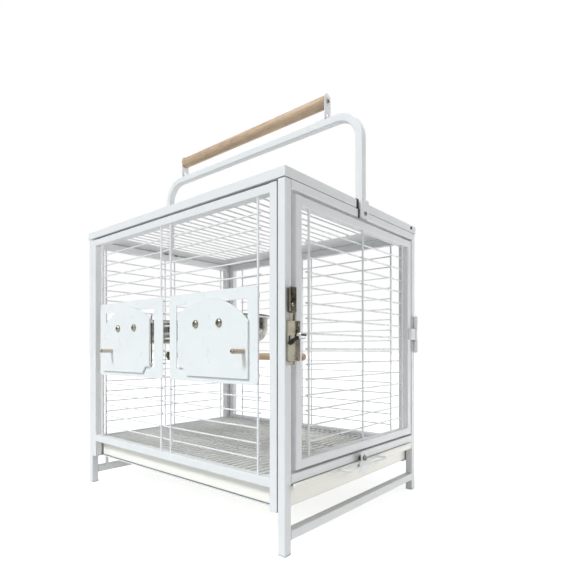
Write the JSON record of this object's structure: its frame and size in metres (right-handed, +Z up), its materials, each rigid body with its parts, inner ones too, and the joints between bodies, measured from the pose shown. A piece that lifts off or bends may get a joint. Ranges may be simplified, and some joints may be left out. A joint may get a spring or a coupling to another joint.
{
  "type": "bird travel carrier",
  "caption": "Wire bird carrier with a square-tube frame, latched front door, swing-out feeder covers with cups, grate, pull-out tray, carrying handle and wooden perches.",
  "frame": {"origin": "middle of the base of the whole part's bounding box, on the floor under the feet", "axes": "+Z up; -Y is the door side; -X is the feeder side; +Y runs along the handle to the back"},
  "size_m": [0.4084, 0.5508, 0.6946],
  "materials": {
    "white_enamel": "satin powder coat",
    "white_sheet": "satin powder coat",
    "white_wire": "satin powder coat",
    "tray_enamel": "gloss enamel",
    "perch_wood": "bare sanded dowel",
    "knob_wood": "bare sanded dowel",
    "stainless": "spun stainless steel",
    "screw_steel": "zinc plated",
    "latch_nickel": "dull nickel plate",
    "knob_chrome": "bright chrome",
    "black_steel": "black oxide",
    "black_rubber": "moulded rubber",
    "foot_plastic": "moulded cap"
  },
  "bodies": {
    "cage": {"front_frame": "white_enamel", "back_posts": "white_enamel", "back_panel_frame": "white_enamel", "left_frame": "white_enamel", "right_frame": "white_enamel", "foot_caps": "foot_plastic", "left_wires": "white_wire", "right_wires": "white_wire", "back_wires": "white_wire", "roof_tray": "white_enamel", "roof_bars": "white_wire", "handle": "white_enamel", "handle_brackets": "white_enamel", "handle_pads": "black_rubber", "handle_screws": "screw_steel", "roof_rim_screw": "black_steel", "top_perch": "perch_wood", "top_perch_brackets": "white_enamel", "top_perch_screws": "screw_steel", "inner_perch": "perch_wood", "inner_perch_washers": "screw_steel", "inner_perch_bolt": "screw_steel", "inner_perch_wing_nut": "screw_steel", "door_hinge_barrels": "white_enamel", "door_hinge_pin": "screw_steel", "latch_case": "latch_nickel", "latch_screws": "latch_nickel", "front_feeder_plate": "white_sheet", "rear_feeder_plate": "white_sheet", "grate_ledges": "white_enamel", "tray_runners": "white_enamel", "tray_stops": "white_enamel", "tray_latch_screw": "screw_steel"},
    "door": {"door_frame": "white_enamel", "door_wires": "white_wire", "door_hinge_strap": "white_enamel", "door_keeper": "latch_nickel"},
    "door_latch": {"latch_bolt": "latch_nickel", "latch_lever": "black_steel", "latch_knob": "knob_chrome"},
    "tray_drawer": {"tray": "tray_enamel", "tray_pull": "white_wire", "tray_catch_plate": "white_sheet"},
    "tray_latch": {"tray_latch_plate": "white_sheet"},
    "grate": {"grate_frame": "white_wire", "grate_bars": "white_wire"},
    "front_feeder": {"front_cover": "white_sheet", "front_cover_pin": "screw_steel", "front_cup_ring": "white_wire", "front_cup_screws": "screw_steel", "front_knob": "knob_wood", "front_knob_screw": "screw_steel"},
    "front_cup_body": {"front_cup": "stainless"},
    "rear_feeder": {"rear_cover": "white_sheet", "rear_cover_pin": "screw_steel", "rear_cup_ring": "white_wire", "rear_cup_screws": "screw_steel", "rear_knob": "knob_wood", "rear_knob_screw": "screw_steel"},
    "rear_cup_body": {"rear_cup": "stainless"}
  },
  "joints": [
    {"name": "door_hinge", "type": "hinge", "parent": "cage", "child": "door", "pos_m": [0.19855, -0.2555, 0.293], "axis": [0, 0, 1], "range_deg": [0, 170]},
    {"name": "door_latch_slide", "type": "slide", "parent": "cage", "child": "door_latch", "axis": [0, 0, 1], "range_m": [0, 0.007]},
    {"name": "front_feeder_hinge", "type": "hinge", "parent": "cage", "child": "front_feeder", "pos_m": [-0.17505, -0.0346, 0.275], "axis": [0, 0, -1], "range_deg": [0, 90]},
    {"name": "rear_feeder_hinge", "type": "hinge", "parent": "cage", "child": "rear_feeder", "pos_m": [-0.17505, 0.0489, 0.275], "axis": [0, 0, 1], "range_deg": [0, 90]},
    {"name": "front_cup_lift", "type": "slide", "parent": "front_feeder", "child": "front_cup_body", "axis": [0, 0, 1], "range_m": [0, 0.04]},
    {"name": "rear_cup_lift", "type": "slide", "parent": "rear_feeder", "child": "rear_cup_body", "axis": [0, 0, 1], "range_m": [0, 0.04]},
    {"name": "tray_slide", "type": "slide", "parent": "cage", "child": "tray_drawer", "axis": [0, -1, 0], "range_m": [0, 0.4]},
    {"name": "tray_latch_slide", "type": "slide", "parent": "cage", "child": "tray_latch", "axis": [0, 0, -1], "range_m": [0, 0.005]},
    {"name": "grate_lift", "type": "slide", "parent": "cage", "child": "grate", "axis": [0, 0, 1], "range_m": [0, 0.08]}
  ]
}
